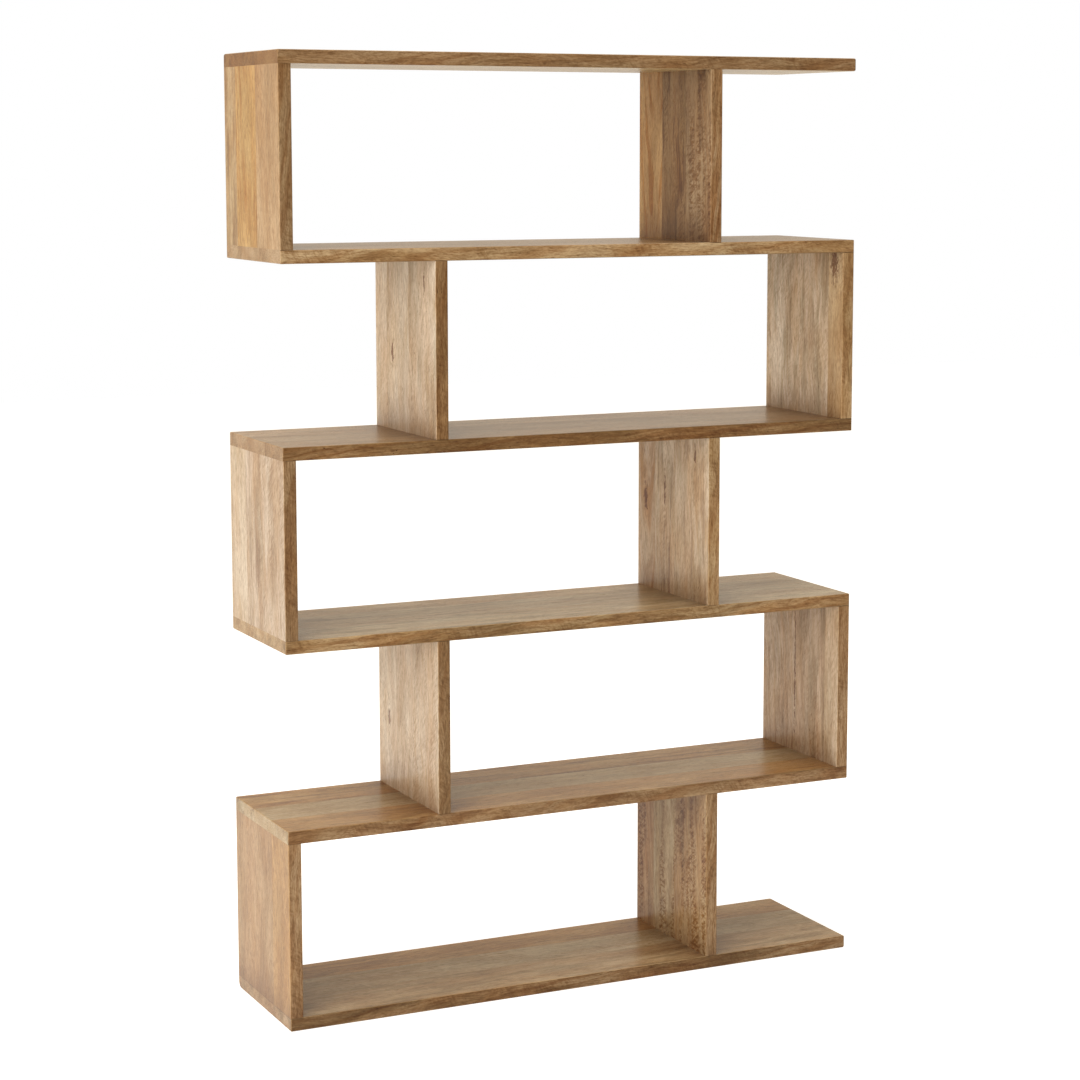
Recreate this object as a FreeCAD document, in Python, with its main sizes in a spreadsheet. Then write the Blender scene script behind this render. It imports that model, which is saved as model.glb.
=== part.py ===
import FreeCAD, Part
import os
import Sketcher

# A zigzag bookshelf of solid wood, open at the front and the back. Six shelf boards lie one above
# the other, and each tier between two of them has two uprights: one flush with an end of the shelf
# and one set in from the other end, which change sides from tier to tier.
# +X is to the right seen from the front, +Y goes to the back and +Z is up. The origin lies on the
# floor, under the middle of the lowest shelf.

TIERS = 5
DOWELS_PER_JOINT = 3
STAVES = ("front", "middle", "back")

# Driving sizes in millimetres.
DRIVING_SIZES = {
    "shelf_width": 1200,
    "shelf_depth": 300,
    "board_thickness": 25,
    # Clear height between two shelves.
    "bay_height": 330,
    # From the end of a shelf to the outer face of the upright that is set in.
    "inner_setback": 300,
    # Rounding of the long arrises, and of the ends of a shelf where no upright stands.
    "arris_radius": 2,
    "end_radius": 7,
    "dowel_diameter": 10,
    "dowel_length": 40,
    "dowel_chamfer": 1,
    # How deep a dowel stands in the shelf. The rest of it is in the end of the upright.
    "dowel_seat": 15,
    # From the front or back of the board to the middle of the nearest dowel.
    "dowel_inset": 32,
    # Room for glue round a dowel and behind its ends.
    "glue_film": 0.1,
    "bore_end_room": 1,
}

# The two glue lines of each board, as shares of its depth from the front.
SHELF_GLUE_SHARES = (
    (0.38, 0.70),
    (0.32, 0.64),
    (0.40, 0.75),
    (0.33, 0.66),
    (0.38, 0.70),
    (0.36, 0.76),
)
LEFT_UPRIGHT_GLUE_SHARES = (
    (0.31, 0.64),
    (0.42, 0.70),
    (0.39, 0.70),
    (0.44, 0.80),
    (0.41, 0.78),
)
RIGHT_UPRIGHT_GLUE_SHARES = (
    (0.45, 0.75),
    (0.17, 0.55),
    (0.47, 0.75),
    (0.18, 0.56),
    (0.34, 0.67),
)

# Two places count as the same within this.
SAME_PLACE = 1e-6

TIER_PITCH = "(Sizes.bay_height + Sizes.board_thickness)"
BORE_DIAMETER = "Sizes.dowel_diameter + 2 * Sizes.glue_film"
SHELF_BORE_DEPTH = "Sizes.dowel_seat + Sizes.bore_end_room"
UPRIGHT_BORE_DEPTH = "Sizes.dowel_length - Sizes.dowel_seat + Sizes.bore_end_room"
DOWEL_SPREAD = "(Sizes.shelf_depth - 2 * Sizes.dowel_inset)"

doc = FreeCAD.newDocument("zigzag_bookshelf")
sheet = doc.addObject("Spreadsheet::Sheet", "Sizes")
for row, (alias, size) in enumerate(DRIVING_SIZES.items(), start=1):
    sheet.set(f"A{row}", alias)
    sheet.set(f"B{row}", str(size))
    sheet.setAlias(f"B{row}", alias)
doc.recompute()

nodes = []


def value(expression):
    """The number that an expression of the sheet's sizes comes to."""
    return float(sheet.evalExpression(expression))


def same(first, second):
    return abs(first - second) < SAME_PLACE


def origin_feature(body, role):
    return next(feature for feature in body.Origin.OriginFeatures if feature.Role == role)


def new_body(label, left, front, foot):
    """A named piece whose own corner stands at the given place."""
    body = doc.addObject("PartDesign::Body", label)
    body.Label = label
    body.setExpression("Placement.Base.x", f"{left} - Sizes.shelf_width / 2")
    body.setExpression("Placement.Base.y", f"{front} - Sizes.shelf_depth / 2")
    body.setExpression("Placement.Base.z", foot)
    nodes.append(body)
    return body


def new_sketch(body, name):
    sketch = body.newObject("Sketcher::SketchObject", f"{body.Label}_{name}")
    sketch.AttachmentSupport = [(origin_feature(body, "XY_Plane"), "")]
    sketch.MapMode = "FlatFace"
    return sketch


def bind(sketch, constraint, name, expression):
    """Adds a size to a sketch and ties it to the sheet."""
    sketch.renameConstraint(sketch.addConstraint(constraint), name)
    sketch.setExpression(f"Constraints.{name}", expression)


def draw_rectangle(sketch, length, width):
    """A rectangle with one corner at the sketch's origin."""
    far_x = value(length)
    far_y = value(width)
    corners = [FreeCAD.Vector(x, y, 0) for x, y in ((0, 0), (far_x, 0), (far_x, far_y), (0, far_y))]
    for start, end in zip(corners, corners[1:] + corners[:1]):
        sketch.addGeometry(Part.LineSegment(start, end))
    for side in range(len(corners)):
        following = (side + 1) % len(corners)
        sketch.addConstraint(Sketcher.Constraint("Coincident", side, 2, following, 1))
        sketch.addConstraint(Sketcher.Constraint("Vertical" if side % 2 else "Horizontal", side))
    sketch.addConstraint(Sketcher.Constraint("Coincident", 0, 1, -1, 1))
    bind(sketch, Sketcher.Constraint("DistanceX", 0, 1, 0, 2, far_x), "length", length)
    bind(sketch, Sketcher.Constraint("DistanceY", 1, 1, 1, 2, far_y), "width", width)


def draw_circle(sketch, number, across, deep, diameter):
    """A circle of a set, with its middle measured from the sketch's origin."""
    middle = FreeCAD.Vector(value(across), value(deep), 0)
    axis = FreeCAD.Vector(0, 0, 1)
    circle = sketch.addGeometry(Part.Circle(middle, axis, value(diameter) / 2))
    bind(sketch, Sketcher.Constraint("Diameter", circle, value(diameter)), f"bore_{number}", diameter)
    bind(sketch, Sketcher.Constraint("DistanceX", -1, 1, circle, 3, middle.x), f"across_{number}", across)
    bind(sketch, Sketcher.Constraint("DistanceY", -1, 1, circle, 3, middle.y), f"deep_{number}", deep)


def add_pad(body, sketch, height):
    pad = body.newObject("PartDesign::Pad", f"{body.Label}_pad")
    pad.Profile = sketch
    pad.setExpression("Length", height)
    doc.recompute()
    return pad


def round_edges(body, name, base, is_wanted, radius):
    """Rounds the edges of a piece that a test on their boxes picks out."""
    edges = [
        f"Edge{number}"
        for number, edge in enumerate(base.Shape.Edges, start=1)
        if is_wanted(edge.BoundBox)
    ]
    if not edges:
        return base
    rounding = body.newObject("PartDesign::Fillet", f"{body.Label}_{name}")
    rounding.Base = (base, edges)
    rounding.setExpression("Radius", radius)
    doc.recompute()
    return rounding


def dowel_row(row):
    """How far behind the front of the board a row of dowels lies."""
    return f"(Sizes.dowel_inset + {row} * {DOWEL_SPREAD} / {DOWELS_PER_JOINT - 1})"


def bore_face(body, name, front, back, face, middles, depth, upwards):
    """Bores the dowel holes of one face of a stave, also those that reach over its glue lines."""
    reach = value(BORE_DIAMETER) / 2
    rows = [dowel_row(row) for row in range(DOWELS_PER_JOINT)]
    rows = [deep for deep in rows if value(front) - reach < value(deep) < value(back) + reach]
    sketch = new_sketch(body, f"{name}_bore_places")
    sketch.setExpression("AttachmentOffset.Base.y", f"-({front})")
    sketch.setExpression("AttachmentOffset.Base.z", face)
    places = [(across, deep) for across in middles for deep in rows]
    for number, (across, deep) in enumerate(places):
        draw_circle(sketch, number, across, deep, BORE_DIAMETER)
    solid_volume = body.Shape.Volume
    bores = body.newObject("PartDesign::Pocket", f"{body.Label}_{name}_bores")
    bores.Profile = sketch
    bores.Reversed = upwards
    bores.setExpression("Length", depth)
    doc.recompute()
    if not body.Shape.Volume < solid_volume:
        raise RuntimeError(f"{bores.Label} cuts nothing")


def glue_lines(shares):
    """The lines, from the front, that a board's staves lie between."""
    return ["0 * Sizes.shelf_depth"] + [f"{share} * Sizes.shelf_depth" for share in (*shares, 1)]


def is_end_corner(box, length, height, free_ends):
    """Whether an edge runs front to back along one of the free ends of a shelf."""
    return any(
        same(box.XMin, x) and same(box.XMax, x) and same(box.ZMin, z) and same(box.ZMax, z)
        for x, z in ((length if right else 0, height if top else 0) for right, top in free_ends)
    )


def add_shelf(level):
    """A shelf board: three staves, with dowel holes where uprights stand on it and under it."""
    foot = f"{level} * {TIER_PITCH}"
    length = value("Sizes.shelf_width")
    height = value("Sizes.board_thickness")
    above = upright_middles(level) if level < TIERS else []
    below = upright_middles(level - 1) if level > 0 else []
    covered = set()
    if above:
        covered.add((flush_right(level), True))
    if below:
        covered.add((flush_right(level - 1), False))
    corners = [(right, top) for right in (False, True) for top in (False, True)]
    free_ends = [corner for corner in corners if corner not in covered]
    lines = glue_lines(SHELF_GLUE_SHARES[level])
    for stave, front, back in zip(STAVES, lines, lines[1:]):
        body = new_body(f"shelf_{level + 1}_{stave}_stave", "0", front, foot)
        outline = new_sketch(body, "outline")
        draw_rectangle(outline, "Sizes.shelf_width", f"{back} - {front}")
        board = add_pad(body, outline, "Sizes.board_thickness")
        board = round_edges(
            body, "ends", board,
            lambda box: is_end_corner(box, length, height, free_ends),
            "Sizes.end_radius",
        )
        if stave != "middle":
            rim = 0 if stave == "front" else value(f"{back} - {front}")
            round_edges(
                body, "arrises", board,
                lambda box: same(box.YMin, rim) and same(box.YMax, rim),
                "Sizes.arris_radius",
            )
        if above:
            bore_face(body, "top", front, back, "Sizes.board_thickness", above, SHELF_BORE_DEPTH, False)
        if below:
            bore_face(body, "underside", front, back, "0", below, SHELF_BORE_DEPTH, True)


def flush_right(tier):
    """Whether the upright at the end of the shelf is the right one, as in every second tier."""
    return tier % 2 == 1


def upright_face(tier, right):
    """The left face of an upright, measured from the left end of the shelf."""
    if right:
        end = "0" if flush_right(tier) else "Sizes.inner_setback"
        return f"(Sizes.shelf_width - {end} - Sizes.board_thickness)"
    return "Sizes.inner_setback" if flush_right(tier) else "0"


def upright_middles(tier):
    return [f"{upright_face(tier, right)} + Sizes.board_thickness / 2" for right in (False, True)]


def add_upright(tier, right, shares):
    """An upright board: three staves, with dowel holes in both ends, and its dowels."""
    name = f"tier_{tier + 1}_{'right' if right else 'left'}"
    left = upright_face(tier, right)
    foot = f"{tier} * {TIER_PITCH} + Sizes.board_thickness"
    middle = ["Sizes.board_thickness / 2"]
    lines = glue_lines(shares)
    for stave, front, back in zip(STAVES, lines, lines[1:]):
        body = new_body(f"{name}_upright_{stave}_stave", left, front, foot)
        outline = new_sketch(body, "outline")
        draw_rectangle(outline, "Sizes.board_thickness", f"{back} - {front}")
        board = add_pad(body, outline, "Sizes.bay_height")
        if stave != "middle":
            rim = 0 if stave == "front" else value(f"{back} - {front}")
            round_edges(
                body, "arrises", board,
                lambda box: same(box.YMin, rim) and same(box.YMax, rim) and box.ZLength > SAME_PLACE,
                "Sizes.arris_radius",
            )
        bore_face(body, "foot", front, back, "0", middle, UPRIGHT_BORE_DEPTH, True)
        bore_face(body, "head", front, back, "Sizes.bay_height", middle, UPRIGHT_BORE_DEPTH, False)
    add_dowels(f"{name}_dowels", left, foot)


def add_dowels(label, left, foot):
    """The dowels of one upright: a row in its foot and a row in its head."""
    body = new_body(
        label,
        f"{left} + Sizes.board_thickness / 2",
        "Sizes.dowel_inset",
        f"{foot} - Sizes.dowel_seat",
    )
    section = new_sketch(body, "section")
    diameter = value("Sizes.dowel_diameter")
    section.addGeometry(Part.Circle(FreeCAD.Vector(0, 0, 0), FreeCAD.Vector(0, 0, 1), diameter / 2))
    section.addConstraint(Sketcher.Constraint("Coincident", 0, 3, -1, 1))
    bind(section, Sketcher.Constraint("Diameter", 0, diameter), "diameter", "Sizes.dowel_diameter")
    pin = add_pad(body, section, "Sizes.dowel_length")
    ends = body.newObject("PartDesign::Chamfer", f"{label}_ends")
    rims = [
        f"Edge{number}"
        for number, edge in enumerate(pin.Shape.Edges, start=1)
        if same(edge.BoundBox.ZLength, 0)
    ]
    ends.Base = (pin, rims)
    ends.setExpression("Size", "Sizes.dowel_chamfer")
    doc.recompute()
    rows = body.newObject("PartDesign::LinearPattern", f"{label}_rows")
    rows.TransformMode = "Whole shape"
    rows.Direction = (origin_feature(body, "Y_Axis"), [""])
    rows.Occurrences = DOWELS_PER_JOINT
    rows.setExpression("Length", DOWEL_SPREAD)
    rows.Direction2 = (origin_feature(body, "Z_Axis"), [""])
    rows.Occurrences2 = 2
    rows.setExpression("Length2", "Sizes.bay_height - Sizes.dowel_length + 2 * Sizes.dowel_seat")
    body.Tip = rows
    doc.recompute()


for level in range(TIERS + 1):
    add_shelf(level)
for tier in range(TIERS):
    add_upright(tier, False, LEFT_UPRIGHT_GLUE_SHARES[tier])
    add_upright(tier, True, RIGHT_UPRIGHT_GLUE_SHARES[tier])

doc.recompute()
failed = [entry.Label for entry in doc.Objects if {"Invalid", "Error"} & set(entry.State)]
failed += [node.Label for node in nodes if node.Shape.isNull() or not node.Shape.isValid()]
if failed:
    raise RuntimeError(f"These did not build: {failed}")

os.makedirs("parts", exist_ok=True)
for node in nodes:
    node.Shape.exportStep(f"parts/{node.Label}.step")
solids = sum(len(node.Shape.Solids) for node in nodes)
print(f"{len(nodes)} nodes, {solids} solids")
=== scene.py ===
import math
import bpy
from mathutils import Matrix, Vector


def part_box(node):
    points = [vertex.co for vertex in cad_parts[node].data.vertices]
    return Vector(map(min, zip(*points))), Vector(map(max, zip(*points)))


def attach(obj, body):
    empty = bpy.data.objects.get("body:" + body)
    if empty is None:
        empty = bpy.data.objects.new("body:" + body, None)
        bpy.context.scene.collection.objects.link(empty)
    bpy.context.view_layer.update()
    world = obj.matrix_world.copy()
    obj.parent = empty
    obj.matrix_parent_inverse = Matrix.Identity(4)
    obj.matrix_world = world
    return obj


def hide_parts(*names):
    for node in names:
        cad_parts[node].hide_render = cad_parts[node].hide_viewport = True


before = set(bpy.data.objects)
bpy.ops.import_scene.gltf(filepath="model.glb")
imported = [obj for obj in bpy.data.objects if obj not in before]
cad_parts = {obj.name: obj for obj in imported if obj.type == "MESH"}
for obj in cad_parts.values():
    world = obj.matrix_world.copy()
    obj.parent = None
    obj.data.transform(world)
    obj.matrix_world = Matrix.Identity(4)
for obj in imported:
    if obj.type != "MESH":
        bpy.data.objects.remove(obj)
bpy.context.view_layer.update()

# Shelf boards
# Six boards of solid mango wood, each glued up from three staves that were chosen for length, not for
# colour. They were planed and sanded flush, eased at the arrises, oiled, and doweled to the uprights.
TIERS = 5
SHELF_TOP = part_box("shelf_1_front_stave")[1].z
TIER_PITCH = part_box("shelf_2_front_stave")[1].z - SHELF_TOP
STAVES = ("front", "middle", "back")
# How round the edges are, in metres: most of them, those of the two free right ends, the upper back edge
# of the highest board and the lower back edge of the lowest.
ARRIS_ROUND = 0.002
FREE_END_ROUND = 0.005
TOP_BACK_ROUND = 0.006
HEEL_ROUND = 0.012
ROUND_STEPS = 4
# Sizes in the wood, in millimetres: how far its fibres wander, its growth layers, its pores, the ridges
# that sanding leaves, and how far the painted shade reaches from a corner.
FIBRE_SWAY = 34
LAYER_THICKNESS = 11
PORE_LENGTH = 22
PORE_WIDTH = 6
RIDGE_LENGTH = 40
RIDGE_WIDTH = 1.4
RIDGE_HEIGHT = 0.5
CORNER_SHADE_REACH = 120
# How much a trunk tapers for its length, how far a knot pushes the fibres beside it, as a share of their
# distance, and how many times its own half width that reaches.
TRUNK_TAPER = 0.10
KNOT_PUSH = 0.7
KNOT_REACH = 4.0
# Metres of log between two shelves and between two staves of a shelf, so that neighbours differ.
SHELF_LOG_STEP = 3.7
SHELF_STAVE_LOG_STEP = 1.9

# Colours of planed and oiled mango, from sapwood to heartwood.
TONES = {
    "bone": "#f0e3d2",
    "ivory": "#e7d8c4",
    "cream": "#decdb6",
    "drift": "#d7c4af",
    "wheat": "#dec999",
    "oat": "#cfbe9e",
    "sand": "#cab18c",
    "honey": "#d5b37c",
    "tan": "#caa675",
    "rose": "#c6a782",
    "nut": "#bca180",
    "bark": "#ae9473",
    "umber": "#a48660",
    "sienna": "#977144",
}
# How each kind of stave was cut and grown: where the pith lay, in millimetres across and behind the
# stave, and how much flame, ripple and grey stain, and how much dark heart and flecks it shows.
FIGURES = {
    "plain": {"pith": (95, 40), "figure": (0.15, 0.15, 0.08), "marks": (0.0, 0.25)},
    "flame": {"pith": (8, 34), "figure": (0.78, 0.10, 0.05), "marks": (0.0, 0.15)},
    "streaked": {"pith": (110, 14), "figure": (0.35, 0.20, 0.20), "marks": (0.35, 0.40)},
    "ripple": {"pith": (105, 20), "figure": (0.20, 0.45, 0.10), "marks": (0.0, 0.30)},
    "smoky": {"pith": (70, 45), "figure": (0.25, 0.30, 0.50), "marks": (0.20, 0.60)},
    "heart": {"pith": (80, 30), "figure": (0.30, 0.30, 0.30), "marks": (0.60, 0.50)},
    "curly": {"pith": (60, 25), "figure": (0.40, 0.80, 0.20), "marks": (0.25, 0.60)},
    "wavy": {"pith": (60, 25), "figure": (0.30, 0.60, 0.30), "marks": (0.70, 0.60)},
    "spalted": {"pith": (60, 40), "figure": (0.30, 0.30, 0.35), "marks": (0.10, 1.00)},
}
# A knot's place along and across its stave, as shares, and its width and length in millimetres. This
# one is too small to show.
NO_KNOT = (0.0, 0.0, 0.02, 0.02)


def linear(code):
    """An sRGB hex colour as the linear values that the shaders work in."""
    parts = [int(code[start:start + 2], 16) / 255 for start in (1, 3, 5)]
    return [part / 12.92 if part <= 0.04045 else ((part + 0.055) / 1.055) ** 2.4 for part in parts]


def add_node(tree, kind, inputs=None, **settings):
    """Adds a node, sets it up and fills its inputs with values or with other nodes' outputs."""
    node = tree.nodes.new(kind)
    for name, setting in settings.items():
        setattr(node, name, setting)
    for name, source in (inputs or {}).items():
        if isinstance(source, bpy.types.NodeSocket):
            tree.links.new(source, node.inputs[name])
        else:
            node.inputs[name].default_value = source
    return node


def mango_wood(name, grain_axis):
    """Planed, oiled mango wood whose fibres run along one axis of the room.

    It gives the eye soft zones of rosy, golden and grey tone, short fine fibres over them, here and there
    a flame, a ripple, a dark streak or a knot, and the dull sheen of oil that was wiped off.
    """
    material = bpy.data.materials.new(name)
    material.use_nodes = True
    tree = material.node_tree
    shader = tree.nodes["Principled BSDF"]
    read = add_node(tree, "ShaderNodeTexCoord").outputs
    room = add_node(tree, "ShaderNodeSeparateXYZ", {0: read["Object"]}).outputs
    upward = add_node(tree, "ShaderNodeSeparateXYZ", {0: read["Normal"]}).outputs["Z"]
    facing = add_node(tree, "ShaderNodeVectorMath", {0: read["Normal"]}, operation="ABSOLUTE").outputs[0]
    facing = add_node(tree, "ShaderNodeSeparateXYZ", {0: facing}).outputs
    face_tone, under_tone, edge_tone, end_tone = [
        add_node(tree, "ShaderNodeAttribute", attribute_name=part).outputs["Color"]
        for part in ("face_tone", "under_tone", "edge_tone", "end_tone")
    ]
    log_place, figure, marks, knot = [
        add_node(tree, "ShaderNodeAttribute", attribute_name=part).outputs["Vector"]
        for part in ("log_place", "figure", "marks", "knot")
    ]
    flame, ripple, stain = add_node(tree, "ShaderNodeSeparateXYZ", {0: figure}).outputs
    heart, flecks, knot_size = add_node(tree, "ShaderNodeSeparateXYZ", {0: marks}).outputs
    knot_slimness = add_node(tree, "ShaderNodeSeparateXYZ", {0: knot}).outputs["Z"]

    def random(place, length, width, detail=2.0, output="Fac"):
        """Random values that change over this length along the fibres and width across, in millimetres."""
        stretched = add_node(
            tree, "ShaderNodeVectorMath", {0: place, 1: (1000 / length, 1000 / width, 1000 / width)},
            operation="MULTIPLY",
        ).outputs[0]
        return add_node(
            tree, "ShaderNodeTexNoise",
            {"Vector": stretched, "Scale": 1.0, "Detail": detail, "Roughness": 0.58},
        ).outputs[output]

    def lay(under, colour, limits, way="MULTIPLY"):
        """Lays a colour on the wood, as a stain unless told otherwise, as far as all its limits allow.

        A limit is a share, or a reading of the wood and the two levels that it fades in between.
        """
        share = 1.0
        for limit in limits:
            if isinstance(limit, tuple):
                reading, low, high = limit
                limit = add_node(
                    tree, "ShaderNodeMapRange", {"Value": reading, "From Min": low, "From Max": high},
                    interpolation_type="SMOOTHSTEP",
                ).outputs[0]
            share = add_node(tree, "ShaderNodeMath", {0: share, 1: limit}, operation="MULTIPLY").outputs[0]
        over = (*linear(colour), 1.0) if isinstance(colour, str) else colour
        return add_node(
            tree, "ShaderNodeMix", {0: share, 6: under, 7: over}, data_type="RGBA", blend_type=way,
        ).outputs[2]

    # A point of the board, as length along the fibres, and two distances from the pith of its trunk.
    depth_axis = "Z" if grain_axis == "X" else "X"
    in_board = add_node(
        tree, "ShaderNodeCombineXYZ", {"X": room[grain_axis], "Y": room["Y"], "Z": room[depth_axis]},
    ).outputs[0]
    straight = add_node(
        tree, "ShaderNodeVectorMath", {0: in_board, 1: log_place}, operation="ADD",
    ).outputs[0]

    # The fibres wander sideways by some millimetres as they run.
    sway = random(straight, 200, 90, output="Color")
    sway = add_node(
        tree, "ShaderNodeVectorMath", {0: sway, 1: (0.5, 0.5, 0.5)}, operation="SUBTRACT",
    ).outputs[0]
    place = add_node(
        tree, "ShaderNodeVectorMath", {0: sway, 1: (0.0, FIBRE_SWAY / 1000, FIBRE_SWAY / 1000), 2: straight},
        operation="MULTIPLY_ADD",
    ).outputs[0]

    # A knot or a crack is a dark core with a ragged rim, and the fibres flow round it.
    from_knot = add_node(
        tree, "ShaderNodeVectorMath", {0: in_board, 1: knot}, operation="SUBTRACT",
    ).outputs[0]
    sideways = add_node(
        tree, "ShaderNodeVectorMath", {0: from_knot, 1: (0.0, 1.0, 0.0)}, operation="MULTIPLY",
    ).outputs[0]
    lengthways = add_node(tree, "ShaderNodeSeparateXYZ", {0: from_knot}).outputs["X"]
    lengthways = add_node(
        tree, "ShaderNodeMath", {0: lengthways, 1: knot_slimness}, operation="DIVIDE",
    ).outputs[0]
    lengthways = add_node(tree, "ShaderNodeCombineXYZ", {"X": lengthways}).outputs[0]
    eye = add_node(
        tree, "ShaderNodeVectorMath", {0: lengthways, 1: sideways}, operation="ADD",
    ).outputs[0]
    eye = add_node(tree, "ShaderNodeVectorMath", {0: eye}, operation="LENGTH").outputs["Value"]
    eye = add_node(tree, "ShaderNodeMath", {0: eye, 1: knot_size}, operation="DIVIDE").outputs[0]
    push = add_node(
        tree, "ShaderNodeMapRange",
        {"Value": eye, "From Min": 0.6, "From Max": KNOT_REACH, "To Min": -KNOT_PUSH, "To Max": 0.0},
        interpolation_type="SMOOTHSTEP",
    ).outputs[0]
    bend = add_node(tree, "ShaderNodeVectorMath", {0: sideways, "Scale": push}, operation="SCALE").outputs[0]
    place = add_node(tree, "ShaderNodeVectorMath", {0: place, 1: bend}, operation="ADD").outputs[0]
    ragged = random(in_board, 11, 5)
    ragged = add_node(
        tree, "ShaderNodeMath", {0: ragged, 1: 3.0, 2: eye}, operation="MULTIPLY_ADD",
    ).outputs[0]

    # Growth layers follow the distance from the pith, and the trunk tapers.
    across = add_node(
        tree, "ShaderNodeVectorMath", {0: place, 1: (0.0, 1.0, 1.0)}, operation="MULTIPLY",
    ).outputs[0]
    pith = add_node(tree, "ShaderNodeVectorMath", {0: across}, operation="LENGTH").outputs["Value"]
    run = add_node(tree, "ShaderNodeSeparateXYZ", {0: place}).outputs
    pith = add_node(
        tree, "ShaderNodeMath", {0: run["X"], 1: -TRUNK_TAPER, 2: pith}, operation="MULTIPLY_ADD",
    ).outputs[0]
    layers = add_node(
        tree, "ShaderNodeTexNoise",
        {"W": pith, "Scale": 1000 / LAYER_THICKNESS, "Detail": 2.0, "Roughness": 0.5},
        noise_dimensions="1D",
    ).outputs["Fac"]

    # Ripple: fibres in waves, seen as short slanting bands across the grain, in columns.
    slant = add_node(
        tree, "ShaderNodeVectorMath", {0: place, 1: (1.0, 0.8, 0.5)}, operation="DOT_PRODUCT",
    ).outputs["Value"]
    slanted = add_node(tree, "ShaderNodeCombineXYZ", {"X": slant, "Y": run["Y"], "Z": run["Z"]}).outputs[0]

    # The faces, the undersides, the front and back edges and the ends of a board each have a tone.
    on_face = (facing["Y"], 0.9, 0.4)
    on_edge = (facing["Y"], 0.4, 0.9)
    on_end = (facing[grain_axis], 0.4, 0.9)
    on_underside = (upward, -0.4, -0.9)
    shade = lay(face_tone, under_tone, (on_underside,), "MIX")
    shade = lay(shade, edge_tone, (on_edge,), "MIX")
    shade = lay(shade, end_tone, (on_end,), "MIX")

    # What the surface shows: millimetres along and across the fibres, detail, the levels of chance that
    # it fades in between, what limits it, and its colour. Broad zones of tone come first, then fibres,
    # stain, dark heart, the marks of the edges, and flecks. The finest fibres are drawn coarser than they
    # are so that they show.
    for length, width, detail, low, high, limits, colour in (
        (300, 62, 1.5, 0.36, 0.64, (0.42,), "#dccab0"),
        (210, 50, 1.5, 0.42, 0.64, (0.42,), "#e8d5be"),
        (150, 38, 2.0, 0.44, 0.66, (0.40,), "#ecd7b2"),
        (240, 54, 1.5, 0.46, 0.66, (0.42,), "#d6d1c4"),
        (40, 9, 4.0, 0.46, 0.70, (0.20,), "#c2aa88"),
        (200, 4, 3.0, 0.50, 0.70, (0.20,), "#bda584"),
        (45, 1.8, 2.0, 0.46, 0.62, (0.46,), "#b9a284"),
        (12, 2.2, 2.0, 0.46, 0.66, (0.40,), "#b39b7c"),
        (170, 30, 2.0, 0.46, 0.66, (stain,), "#b5af98"),
        (240, 16, 3.0, 0.53, 0.64, (heart,), "#99744f"),
        (180, 7, 3.0, 0.44, 0.64, (on_edge, 0.34), "#b8a07a"),
        (9, 3.5, 2.0, 0.42, 0.66, (on_edge, 0.16), "#b8a282"),
        (6, 1.8, 1.0, 0.42, 0.66, (on_edge, 0.28), "#ac987d"),
        (8, 3.0, 2.0, 0.68, 0.76, (flecks,), "#6b5038"),
        (45, 3.2, 3.0, 0.69, 0.74, (flecks,), "#5c4733"),
    ):
        chance = random(place, length, width, detail)
        shade = lay(shade, colour, ((chance, low, high), *limits))
    # Flames where the saw cut the growth layers at a low angle, lines of them on the edges, and ripple.
    growth = (layers, 0.42, 0.66)
    shade = lay(shade, "#dcb77c", (growth, flame, (random(straight, 200, 60), 0.36, 0.56)))
    shade = lay(shade, "#c3a06e", (growth, on_edge, 0.38))
    waves = (random(slanted, 5.5, 20), 0.40, 0.68)
    columns = (random(straight, 260, 34), 0.42, 0.60)
    shade = lay(shade, "#bb9f78", (waves, on_face, ripple, columns))
    shade = lay(shade, "#bb9f78", (waves, on_edge, 0.5, (random(straight, 110, 60), 0.46, 0.62)))
    curls = (random(place, 6, 16, 1.0), 0.44, 0.64)
    shade = lay(shade, "#cdb594", (curls, on_face, (ripple, 0.5, 0.8), columns))
    # Pores: dark dashes, drawn coarser than they are so that they show.
    dashes = add_node(
        tree, "ShaderNodeVectorMath",
        {0: place, 1: (1000 / PORE_LENGTH, 1000 / PORE_WIDTH, 1000 / PORE_WIDTH)}, operation="MULTIPLY",
    ).outputs[0]
    dashes = add_node(tree, "ShaderNodeTexVoronoi", {"Vector": dashes, "Scale": 1.0}).outputs["Distance"]
    shade = lay(shade, "#86694b", ((dashes, 0.24, 0.06), 0.6, (random(straight, 120, 26), 0.48, 0.62)))
    # The knot, with a ragged rim.
    shade = lay(shade, "#93694a", ((ragged, 2.5, 2.15), 0.85))
    # A painted highlight: the rounded arrises are lightened, as if they caught the light.
    flat = add_node(tree, "ShaderNodeMath", {0: facing["X"], 1: facing["Y"]}, operation="MAXIMUM").outputs[0]
    flat = add_node(tree, "ShaderNodeMath", {0: flat, 1: facing["Z"]}, operation="MAXIMUM").outputs[0]
    shade = lay(shade, "#c9ab80", ((flat, 0.97, 0.72), 0.24), "MIX")
    # Painted shade: the corner where an upright stands on a shelf is darkened, as far as occlusion reaches.
    over_shelf = add_node(
        tree, "ShaderNodeMath", {0: room["Z"], 1: 1 / TIER_PITCH, 2: (ARRIS_ROUND - SHELF_TOP) / TIER_PITCH},
        operation="MULTIPLY_ADD",
    ).outputs[0]
    over_shelf = add_node(tree, "ShaderNodeMath", {0: over_shelf}, operation="FRACT").outputs[0]
    corner_openness = add_node(
        tree, "ShaderNodeAmbientOcclusion", {"Distance": CORNER_SHADE_REACH / 1000}, samples=8,
    ).outputs["AO"]
    shade = lay(shade, "#9a7d60", ((corner_openness, 1.0, 0.5), (over_shelf, 0.35, 0.0), 0.6))
    tree.links.new(shade, shader.inputs["Base Color"])

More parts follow.
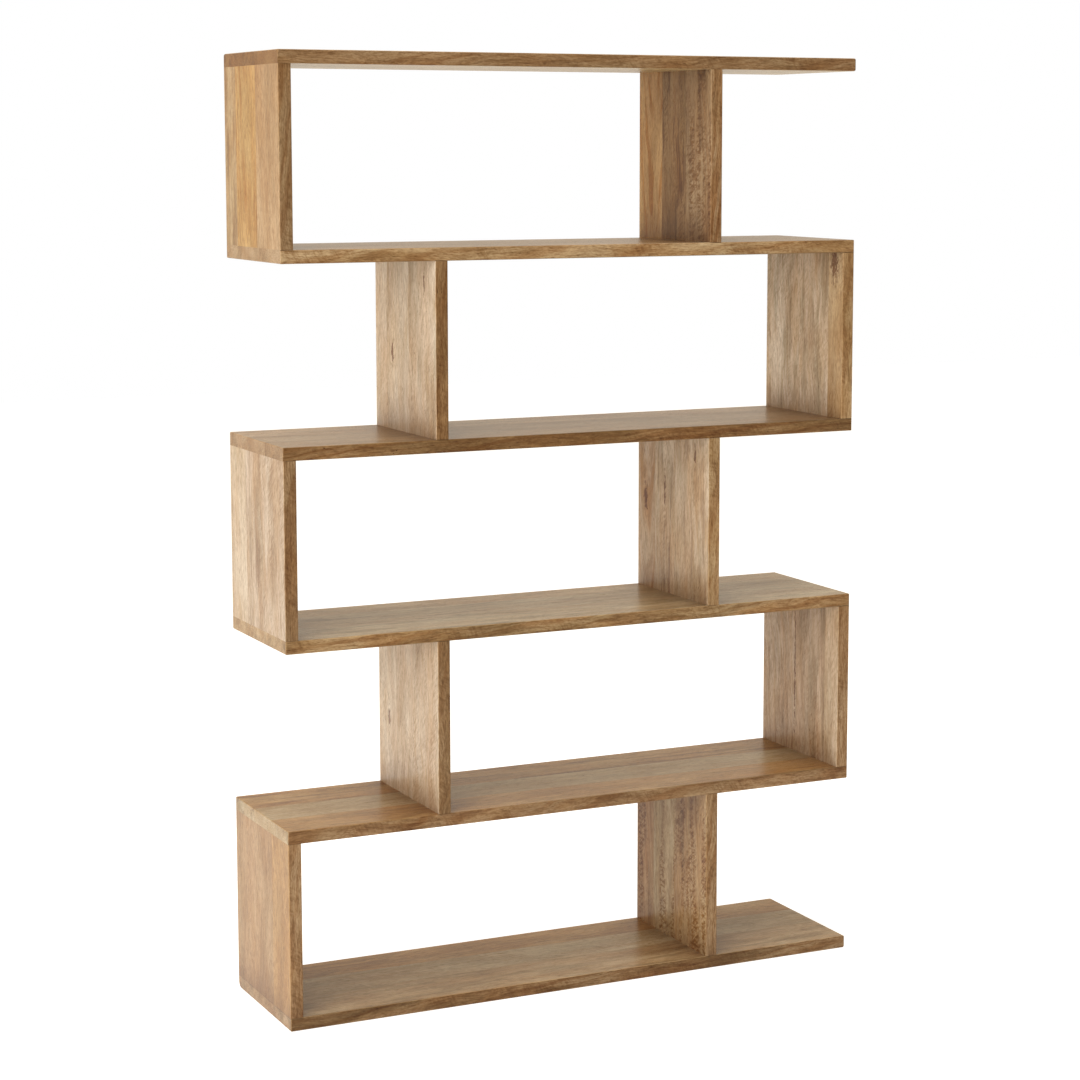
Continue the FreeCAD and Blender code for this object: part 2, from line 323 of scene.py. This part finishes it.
    # A wiped oil finish, whose sheen breaks on ridges, drawn coarser than they are so that they show.
    shader.inputs["IOR"].default_value = 1.45
    shader.inputs["Specular IOR Level"].default_value = 0.18
    ridges = random(place, RIDGE_LENGTH, RIDGE_WIDTH)
    gloss = add_node(
        tree, "ShaderNodeMapRange",
        {"Value": ridges, "From Min": 0.3, "From Max": 0.7, "To Min": 0.26, "To Max": 0.36},
    ).outputs[0]
    tree.links.new(gloss, shader.inputs["Roughness"])
    relief = add_node(
        tree, "ShaderNodeBump", {"Height": ridges, "Strength": 0.2, "Distance": RIDGE_HEIGHT / 1000},
    ).outputs["Normal"]
    tree.links.new(relief, shader.inputs["Normal"])
    return material


def plain_bar():
    """Rule for a planed bar between two corners, with one back edge picked out for a large rounding."""
    tree = bpy.data.node_groups.new("plain_bar", "GeometryNodeTree")
    for name, kind in (
        ("Low Corner", "NodeSocketVector"), ("High Corner", "NodeSocketVector"),
        ("Heel Side", "NodeSocketFloat"), ("Wood", "NodeSocketMaterial"),
    ):
        tree.interface.new_socket(name=name, in_out="INPUT", socket_type=kind)
    tree.interface.new_socket(name="Bar", in_out="OUTPUT", socket_type="NodeSocketGeometry")
    given = add_node(tree, "NodeGroupInput").outputs
    size = add_node(
        tree, "ShaderNodeVectorMath", {0: given["High Corner"], 1: given["Low Corner"]}, operation="SUBTRACT",
    ).outputs[0]
    middle = add_node(
        tree, "ShaderNodeVectorMath", {0: size, 1: (0.5, 0.5, 0.5), 2: given["Low Corner"]},
        operation="MULTIPLY_ADD",
    ).outputs[0]
    bar = add_node(tree, "GeometryNodeMeshCube", {"Size": size}).outputs["Mesh"]
    # Each edge's middle, from -1 to 1 on every axis, tells which edge it is.
    ends = add_node(tree, "GeometryNodeInputMeshEdgeVertices").outputs
    edge_sum = add_node(
        tree, "ShaderNodeVectorMath", {0: ends["Position 1"], 1: ends["Position 2"]}, operation="ADD",
    ).outputs[0]
    edge = add_node(tree, "ShaderNodeVectorMath", {0: edge_sum, 1: size}, operation="DIVIDE").outputs[0]
    edge = add_node(tree, "ShaderNodeSeparateXYZ", {0: edge}).outputs
    at_back = add_node(
        tree, "FunctionNodeCompare", {"A": edge["Y"], "B": 0.5}, data_type="FLOAT", operation="GREATER_THAN",
    ).outputs[0]
    at_height = add_node(
        tree, "FunctionNodeCompare", {"A": edge["Z"], "B": given["Heel Side"], "Epsilon": 0.5},
        data_type="FLOAT", operation="EQUAL",
    ).outputs[0]
    heel = add_node(tree, "FunctionNodeBooleanMath", {0: at_back, 1: at_height}, operation="AND").outputs[0]
    bar = add_node(
        tree, "GeometryNodeStoreNamedAttribute",
        {"Geometry": bar, "Name": "bevel_weight_edge", "Value": heel}, domain="EDGE", data_type="FLOAT",
    ).outputs[0]
    bar = add_node(tree, "GeometryNodeTransform", {"Geometry": bar, "Translation": middle}).outputs[0]
    bar = add_node(tree, "GeometryNodeRealizeInstances", {"Geometry": bar}).outputs[0]
    bar = add_node(tree, "GeometryNodeSetMaterial", {"Geometry": bar, "Material": given["Wood"]}).outputs[0]
    add_node(tree, "NodeGroupOutput", {"Bar": bar})
    return tree


def eased_stave():
    """Rule that makes a bar a stave: how far each edge is eased, and what the wood of this stave is like."""
    tree = bpy.data.node_groups.new("eased_stave", "GeometryNodeTree")
    for name, kind in (
        ("Bar", "NodeSocketGeometry"), ("Front Rim", "NodeSocketFloat"), ("Back Rim", "NodeSocketFloat"),
        ("Top Rim", "NodeSocketFloat"), ("Foot Rim", "NodeSocketFloat"),
        ("Left Corner", "NodeSocketFloat"), ("Right Corner", "NodeSocketFloat"),
        ("Left Top End", "NodeSocketFloat"), ("Left Foot End", "NodeSocketFloat"),
        ("Right Top End", "NodeSocketFloat"), ("Right Foot End", "NodeSocketFloat"),
        ("Face Tone", "NodeSocketColor"), ("Under Tone", "NodeSocketColor"),
        ("Edge Tone", "NodeSocketColor"), ("End Tone", "NodeSocketColor"),
        ("Log Place", "NodeSocketVector"), ("Figure", "NodeSocketVector"), ("Marks", "NodeSocketVector"),
        ("Knot", "NodeSocketVector"), ("Wood", "NodeSocketMaterial"),
    ):
        tree.interface.new_socket(name=name, in_out="INPUT", socket_type=kind)
    tree.interface.new_socket(name="Stave", in_out="OUTPUT", socket_type="NodeSocketGeometry")
    given = add_node(tree, "NodeGroupInput").outputs
    bar = given["Bar"]
    # Each edge's middle, from 0 to 1 on every axis of the bar, tells which edge it is.
    hull = add_node(tree, "GeometryNodeBoundBox", {"Geometry": bar}).outputs
    size = add_node(
        tree, "ShaderNodeVectorMath", {0: hull["Max"], 1: hull["Min"]}, operation="SUBTRACT",
    ).outputs[0]
    ends = add_node(tree, "GeometryNodeInputMeshEdgeVertices").outputs
    edge = add_node(
        tree, "ShaderNodeVectorMath", {0: ends["Position 1"], 1: ends["Position 2"]}, operation="ADD",
    ).outputs[0]
    edge = add_node(tree, "ShaderNodeVectorMath", {0: edge, "Scale": 0.5}, operation="SCALE").outputs[0]
    edge = add_node(tree, "ShaderNodeVectorMath", {0: edge, 1: hull["Min"]}, operation="SUBTRACT").outputs[0]
    edge = add_node(tree, "ShaderNodeVectorMath", {0: edge, 1: size}, operation="DIVIDE").outputs[0]
    edge = add_node(tree, "ShaderNodeSeparateXYZ", {0: edge}).outputs
    lies = {
        (axis, side): add_node(
            tree, "FunctionNodeCompare", {"A": edge[axis], "B": side, "Epsilon": 0.001},
            data_type="FLOAT", operation="EQUAL",
        ).outputs[0]
        for axis in "XYZ" for side in (0.0, 1.0)
    }
    # Long edges first, then the outlines of the two ends: their sides, feet and tops.
    long_edge = 0.0
    for name, side in (("Foot Rim", 0.0), ("Top Rim", 1.0)):
        long_edge = add_node(
            tree, "GeometryNodeSwitch", {"Switch": lies["Z", side], "False": long_edge, "True": given[name]},
            input_type="FLOAT",
        ).outputs[0]
    weight = 0.0
    for name, side in (("Front Rim", 0.0), ("Back Rim", 1.0)):
        rim = add_node(
            tree, "ShaderNodeMath", {0: long_edge, 1: given[name]}, operation="MULTIPLY",
        ).outputs[0]
        weight = add_node(
            tree, "GeometryNodeSwitch", {"Switch": lies["Y", side], "False": weight, "True": rim},
            input_type="FLOAT",
        ).outputs[0]
    nearer_rim = add_node(
        tree, "ShaderNodeMapRange",
        {
            "Value": edge["Y"], "From Min": 0.49, "From Max": 0.51,
            "To Min": given["Front Rim"], "To Max": given["Back Rim"],
        },
    ).outputs[0]
    for name, side in (("Left", 0.0), ("Right", 1.0)):
        outline = add_node(
            tree, "ShaderNodeMath", {0: given[f"{name} Corner"], 1: nearer_rim}, operation="MULTIPLY",
        ).outputs[0]
        for part, height in (("Foot", 0.0), ("Top", 1.0)):
            outline = add_node(
                tree, "GeometryNodeSwitch",
                {"Switch": lies["Z", height], "False": outline, "True": given[f"{name} {part} End"]},
                input_type="FLOAT",
            ).outputs[0]
        weight = add_node(
            tree, "GeometryNodeSwitch", {"Switch": lies["X", side], "False": weight, "True": outline},
            input_type="FLOAT",
        ).outputs[0]
    bar = add_node(
        tree, "GeometryNodeStoreNamedAttribute",
        {"Geometry": bar, "Name": "bevel_weight_edge", "Value": weight}, domain="EDGE", data_type="FLOAT",
    ).outputs[0]
    # The edges that stay square stay sharp, and the rounded ones shade as round.
    turn = add_node(tree, "GeometryNodeInputMeshEdgeAngle").outputs["Unsigned Angle"]
    square = add_node(
        tree, "FunctionNodeCompare", {"A": weight, "B": 0.0, "Epsilon": 0.01}, data_type="FLOAT",
        operation="EQUAL",
    ).outputs[0]
    steep = add_node(
        tree, "FunctionNodeCompare", {"A": turn, "B": math.radians(45)}, data_type="FLOAT",
        operation="GREATER_THAN",
    ).outputs[0]
    square = add_node(tree, "FunctionNodeBooleanMath", {0: square, 1: steep}, operation="AND").outputs[0]
    bar = add_node(tree, "GeometryNodeSetShadeSmooth", {"Geometry": bar, "Shade Smooth": True}).outputs[0]
    bar = add_node(
        tree, "GeometryNodeSetShadeSmooth",
        {"Geometry": bar, "Selection": square, "Shade Smooth": False}, domain="EDGE",
    ).outputs[0]
    for attribute, name, kind in (
        ("face_tone", "Face Tone", "FLOAT_COLOR"), ("under_tone", "Under Tone", "FLOAT_COLOR"),
        ("edge_tone", "Edge Tone", "FLOAT_COLOR"), ("end_tone", "End Tone", "FLOAT_COLOR"),
        ("log_place", "Log Place", "FLOAT_VECTOR"),
        ("figure", "Figure", "FLOAT_VECTOR"), ("marks", "Marks", "FLOAT_VECTOR"),
        ("knot", "Knot", "FLOAT_VECTOR"),
    ):
        bar = add_node(
            tree, "GeometryNodeStoreNamedAttribute",
            {"Geometry": bar, "Name": attribute, "Value": given[name]}, domain="POINT", data_type=kind,
        ).outputs[0]
    bar = add_node(tree, "GeometryNodeRealizeInstances", {"Geometry": bar}).outputs[0]
    bar = add_node(tree, "GeometryNodeSetMaterial", {"Geometry": bar, "Material": given["Wood"]}).outputs[0]
    add_node(tree, "NodeGroupOutput", {"Stave": bar})
    return tree


bar_rule = plain_bar()
stave_rule = eased_stave()


def make_stave(node, wood, grain_axis, board, number, log_shift, inputs, heel=0.0):
    """One stave in the place of its solid, as a plain mesh that rides with the frame.

    The inputs say how round each edge is, as a share of a free end's rounding, and heel is the width of
    the large rounding on a back edge.
    """
    low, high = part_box(node)
    centre = (low + high) / 2
    tone, figure = board["staves"][number]
    pith_across, pith_behind = FIGURES[figure]["pith"]
    depth = centre.z if grain_axis == "X" else centre.x
    along, across, knot_width, knot_length = board.get("knots", {}).get(number, NO_KNOT)
    start = low.x if grain_axis == "X" else low.z
    run = high.x - low.x if grain_axis == "X" else high.z - low.z
    inputs = {
        "Low Corner": low,
        "High Corner": high,
        "Wood": wood,
        "Face Tone": (*linear(TONES[tone]), 1.0),
        "Under Tone": (*linear(TONES[board.get("under", tone)]), 1.0),
        "Edge Tone": (*linear(TONES[board["edge"]]), 1.0),
        "End Tone": (*linear(TONES[board["end"]]), 1.0),
        "Figure": FIGURES[figure]["figure"],
        "Marks": (*FIGURES[figure]["marks"], knot_width / 2000),
        "Knot": (start + along * run, low.y + across * (high.y - low.y), knot_length / knot_width),
        "Log Place": (log_shift, pith_across / 1000 - centre.y, pith_behind / 1000 - depth),
        **inputs,
    }
    piece = bpy.data.objects.new(f"mango_{node}", bpy.data.meshes.new(f"mango_{node}"))
    bpy.context.scene.collection.objects.link(piece)
    for rule, width in ((bar_rule, heel), (stave_rule, FREE_END_ROUND)):
        shaping = piece.modifiers.new(rule.name, "NODES")
        shaping.node_group = rule
        for name, setting in inputs.items():
            socket = rule.interface.items_tree.get(name)
            if socket:
                shaping[socket.identifier] = setting
        rounding = piece.modifiers.new("rounding", "BEVEL")
        rounding.limit_method = "WEIGHT"
        rounding.width = width
        rounding.segments = ROUND_STEPS
        rounding.use_clamp_overlap = False
    rounding.harden_normals = True
    shaped = piece.evaluated_get(bpy.context.evaluated_depsgraph_get())
    mesh = bpy.data.meshes.new_from_object(shaped)
    piece.modifiers.clear()
    piece.data = mesh
    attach(piece, "root")
    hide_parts(node)


# The tones of each board's edge, end and staves from front to back, and the figure of each stave. The
# underside of the highest board is painted paler, as painted light from the floor below.
SHELF_BOARDS = {
    1: {"edge": "bark", "end": "nut", "staves": (("sand", "smoky"), ("oat", "ripple"), ("tan", "streaked"))},
    2: {"edge": "nut", "end": "oat", "staves": (("tan", "streaked"), ("oat", "plain"), ("tan", "heart"))},
    3: {"edge": "sand", "end": "sand", "staves": (("oat", "smoky"), ("oat", "streaked"), ("sand", "ripple"))},
    4: {
        "edge": "umber", "end": "nut",
        "staves": (("bark", "spalted"), ("bark", "plain"), ("nut", "streaked")),
    },
    5: {"edge": "sand", "end": "nut", "staves": (("bark", "ripple"), ("bark", "plain"), ("bark", "plain"))},
    6: {
        # The paler underside tone is painted light from the floor below.
        "edge": "bark", "end": "sienna", "under": "wheat",
        "staves": (("sand", "plain"), ("nut", "ripple"), ("tan", "streaked")),
    },
}
shelf_wood = mango_wood("oiled_mango_lying", "X")
rim = ARRIS_ROUND / FREE_END_ROUND
# The back edges that were sanded rounder, with -1 for a lower edge and 1 for an upper one.
heels = {1: (-1.0, HEEL_ROUND), 6: (1.0, TOP_BACK_ROUND)}
for level in range(1, TIERS + 2):
    upright_above_left = level <= TIERS and level % 2 == 1
    upright_above_right = level <= TIERS and level % 2 == 0
    upright_below_left = level > 1 and level % 2 == 0
    upright_below_right = level > 1 and level % 2 == 1
    right_end = rim if upright_above_right or upright_below_right else 1.0
    heel_side, heel = heels.get(level, (0.0, 0.0))
    for number, stave in enumerate(STAVES):
        log_shift = level * SHELF_LOG_STEP + number * SHELF_STAVE_LOG_STEP
        make_stave(f"shelf_{level}_{stave}_stave", shelf_wood, "X", SHELF_BOARDS[level], number, log_shift, {
            "Front Rim": 1.0 if stave == "front" else 0.0,
            "Back Rim": 1.0 if stave == "back" else 0.0,
            "Top Rim": rim,
            "Foot Rim": rim,
            "Heel Side": heel_side,
            "Left Corner": rim,
            "Right Corner": right_end,
            "Left Top End": 0.0 if upright_above_left else rim,
            "Left Foot End": 0.0 if upright_below_left else rim,
            "Right Top End": 0.0 if upright_above_right else right_end,
            "Right Foot End": 0.0 if upright_below_right else right_end,
        }, heel if stave == "back" else 0.0)

# Uprights
# Ten short boards of the same staves, two in each tier, that stand between the shelves with their
# fibres upright. Their ends butt against the shelves, so only their front and back arrises are eased.

# Metres of log between two tiers, between two staves of an upright and between left and right.
UPRIGHT_LOG_STEP = 2.3
UPRIGHT_STAVE_LOG_STEP = 5.1
RIGHT_LOG_STEP = 0.9
# Their tones, figures and knots, as for the shelves. Their ends have the tone of their edges.
UPRIGHT_BOARDS = {
    (1, "left"): {"edge": "nut", "staves": (("tan", "plain"), ("rose", "plain"), ("rose", "plain"))},
    (1, "right"): {"edge": "nut", "staves": (("sand", "curly"), ("oat", "curly"), ("rose", "curly"))},
    (2, "left"): {
        "edge": "bark", "knots": {2: (0.42, 0.40, 10, 40)},
        "staves": (("ivory", "ripple"), ("ivory", "plain"), ("ivory", "plain")),
    },
    (2, "right"): {
        "edge": "nut", "knots": {2: (0.55, 0.03, 6, 300)},
        "staves": (("cream", "plain"), ("drift", "smoky"), ("drift", "streaked")),
    },
    (3, "left"): {"edge": "bark", "staves": (("drift", "ripple"), ("drift", "streaked"), ("cream", "plain"))},
    (3, "right"): {
        "edge": "sand", "knots": {0: (0.87, 0.40, 7, 45), 1: (0.62, 0.50, 7, 80), 2: (0.56, 0.55, 16, 60)},
        "staves": (("cream", "streaked"), ("cream", "heart"), ("drift", "flame")),
    },
    (4, "left"): {
        "edge": "umber", "knots": {0: (0.87, 0.42, 7, 45), 1: (0.45, 0.75, 13, 42)},
        "staves": (("ivory", "spalted"), ("ivory", "plain"), ("bone", "plain")),
    },
    (4, "right"): {
        "edge": "sand", "knots": {0: (0.94, 0.60, 28, 80)},
        "staves": (("sand", "ripple"), ("ivory", "smoky"), ("ivory", "smoky")),
    },
    (5, "left"): {"edge": "bark", "staves": (("rose", "plain"), ("honey", "flame"), ("sand", "streaked"))},
    (5, "right"): {"edge": "nut", "staves": (("bark", "curly"), ("umber", "wavy"), ("tan", "flame"))},
}
upright_wood = mango_wood("oiled_mango_standing", "Z")
for tier in range(1, TIERS + 1):
    for side in ("left", "right"):
        for number, stave in enumerate(STAVES):
            node = f"tier_{tier}_{side}_upright_{stave}_stave"
            board = {"end": UPRIGHT_BOARDS[tier, side]["edge"], **UPRIGHT_BOARDS[tier, side]}
            log_shift = tier * UPRIGHT_LOG_STEP + number * UPRIGHT_STAVE_LOG_STEP
            if side == "right":
                log_shift += RIGHT_LOG_STEP
            make_stave(node, upright_wood, "Z", board, number, log_shift, {
                "Front Rim": 1.0 if stave == "front" else 0.0,
                "Back Rim": 1.0 if stave == "back" else 0.0,
                "Left Corner": rim,
                "Right Corner": rim,
            })

# Dowels
# Sixty pins of turned beech with chamfered ends, glued blind into the shelves and into the end grain
# of the uprights, three to a joint. They hold the zigzag together, and none of them shows.

# Beech gives the eye a pale pinkish tan with short brown flecks along the pin, sized in millimetres.
PIN_FLECK_LENGTH = 4.0
PIN_FLECK_WIDTH = 1.0
beech = bpy.data.materials.new("turned_beech")
beech.use_nodes = True
tree = beech.node_tree
along_pin = add_node(
    tree, "ShaderNodeVectorMath",
    {
        0: add_node(tree, "ShaderNodeTexCoord").outputs["Object"],
        1: (1000 / PIN_FLECK_WIDTH, 1000 / PIN_FLECK_WIDTH, 1000 / PIN_FLECK_LENGTH),
    },
    operation="MULTIPLY",
).outputs[0]
pin_flecks = add_node(
    tree, "ShaderNodeTexNoise", {"Vector": along_pin, "Scale": 1.0, "Detail": 1.0},
).outputs["Fac"]
pin_flecks = add_node(
    tree, "ShaderNodeMapRange", {"Value": pin_flecks, "From Min": 0.52, "From Max": 0.66},
).outputs[0]
pin_shade = add_node(
    tree, "ShaderNodeMix", {0: pin_flecks, 6: (*linear("#cfae88"), 1.0), 7: (*linear("#a67d55"), 1.0)},
    data_type="RGBA",
).outputs[2]
tree.links.new(pin_shade, tree.nodes["Principled BSDF"].inputs["Base Color"])
tree.nodes["Principled BSDF"].inputs["Roughness"].default_value = 0.55
for name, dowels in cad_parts.items():
    if name.endswith("_dowels"):
        dowels.data.materials.clear()
        dowels.data.materials.append(beech)

# Floor
# A wide floor of matt white board, laid loose under the shelf, that runs out of the picture on all
# sides. It glows only where it is looked at, so that it is white there and keeps the shelf's shadow.
FLOOR_REACH = 12.0
FLOOR_DROP = 0.0005
FLOOR_GLOW = 0.66


def seen_in_picture(tree, paths):
    """Tells the rays that show the white ground: straight, in a gloss or through something clear."""
    seen = paths["Is Camera Ray"]
    for way in ("Is Glossy Ray", "Is Transmission Ray"):
        seen = add_node(tree, "ShaderNodeMath", {0: seen, 1: paths[way]}, operation="MAXIMUM").outputs[0]
    return seen


floor_mesh = bpy.data.meshes.new("floor")
floor_mesh.from_pydata(
    [(x * FLOOR_REACH, y * FLOOR_REACH, -FLOOR_DROP) for x, y in ((-1, -1), (1, -1), (1, 1), (-1, 1))],
    [], [(0, 1, 2, 3)],
)
floor = bpy.data.objects.new("floor", floor_mesh)
bpy.context.scene.collection.objects.link(floor)
white_board = bpy.data.materials.new("matt_white_board")
white_board.use_nodes = True
tree = white_board.node_tree
board_shader = tree.nodes["Principled BSDF"]
board_shader.inputs["Base Color"].default_value = (*linear("#f4f4f2"), 1.0)
board_shader.inputs["Roughness"].default_value = 0.9
paths = add_node(tree, "ShaderNodeLightPath").outputs
glow = add_node(
    tree, "ShaderNodeMath", {0: seen_in_picture(tree, paths), 1: FLOOR_GLOW}, operation="MULTIPLY",
).outputs[0]
glow = add_node(
    tree, "ShaderNodeEmission", {"Color": (1.0, 1.0, 1.0, 1.0), "Strength": glow},
).outputs[0]
mixed = add_node(tree, "ShaderNodeAddShader", {0: board_shader.outputs[0], 1: glow}).outputs[0]
tree.links.new(mixed, tree.nodes["Material Output"].inputs["Surface"])
floor.data.materials.append(white_board)

# Light
# A large soft box far out on the left, a weaker one overhead, and a white room all round, which is a
# little warm and brighter at the front and left than at the back and right.
BACK_LIGHT = 0.29
FRONT_LIGHT = 0.71
FRONT_LEFT = (-0.55, -0.83, 0.0)
world = bpy.data.worlds.new("white_room")
bpy.context.scene.world = world
world.use_nodes = True
tree = world.node_tree
paths = add_node(tree, "ShaderNodeLightPath").outputs
toward = add_node(tree, "ShaderNodeTexCoord").outputs["Generated"]
toward_front = add_node(
    tree, "ShaderNodeVectorMath", {0: toward, 1: FRONT_LEFT}, operation="DOT_PRODUCT",
).outputs["Value"]
room_light = add_node(
    tree, "ShaderNodeMapRange",
    {"Value": toward_front, "From Min": -1.0, "From Max": 1.0, "To Min": BACK_LIGHT, "To Max": FRONT_LIGHT},
).outputs[0]
room_strength = add_node(
    tree, "ShaderNodeMapRange",
    {"Value": seen_in_picture(tree, paths), "To Min": room_light, "To Max": 1.0},
).outputs[0]
room_colour = add_node(
    tree, "ShaderNodeMix",
    {0: paths["Is Camera Ray"], 6: (*linear("#fff4e2"), 1.0), 7: (1.0, 1.0, 1.0, 1.0)}, data_type="RGBA",
).outputs[2]
tree.links.new(room_strength, tree.nodes["Background"].inputs["Strength"])
tree.links.new(room_colour, tree.nodes["Background"].inputs["Color"])


def soft_box(name, place, aim, size, power):
    """A square lamp of this size in metres and power in watts, turned to shine at a point."""
    lamp = bpy.data.lights.new(name, "AREA")
    lamp.shape = "SQUARE"
    lamp.size = size
    lamp.energy = power
    box = bpy.data.objects.new(name, lamp)
    box.location = place
    box.rotation_euler = (Vector(aim) - Vector(place)).to_track_quat("-Z", "Y").to_euler()
    bpy.context.scene.collection.objects.link(box)


soft_box("key_box", place=(-7.5, -3.9, 2.8), aim=(0.0, 0.0, 0.9), size=6.0, power=408.0)
soft_box("top_box", place=(-0.8, -0.2, 4.6), aim=(0.0, 0.0, 0.4), size=4.0, power=113.0)

# Camera
# It stands to the left of the front, at eye height, and looks slightly down through a long lens. The
# shift moves the shelf to its place in the picture.
LOOK_DOWN = 7.311
LOOK_RIGHT = 25.84
camera = bpy.data.cameras.new("camera")
camera.sensor_width = 36.0
camera.lens = 87.98
camera.shift_x = -0.0294
camera.shift_y = -0.0523
viewer = bpy.data.objects.new("camera", camera)
viewer.location = (-2.1908, -4.6284, 1.6315)
viewer.rotation_euler = (math.radians(90 - LOOK_DOWN), 0.0, math.radians(-LOOK_RIGHT))
bpy.context.scene.collection.objects.link(viewer)
bpy.context.scene.camera = viewer
bpy.context.scene.view_settings.view_transform = "Standard"
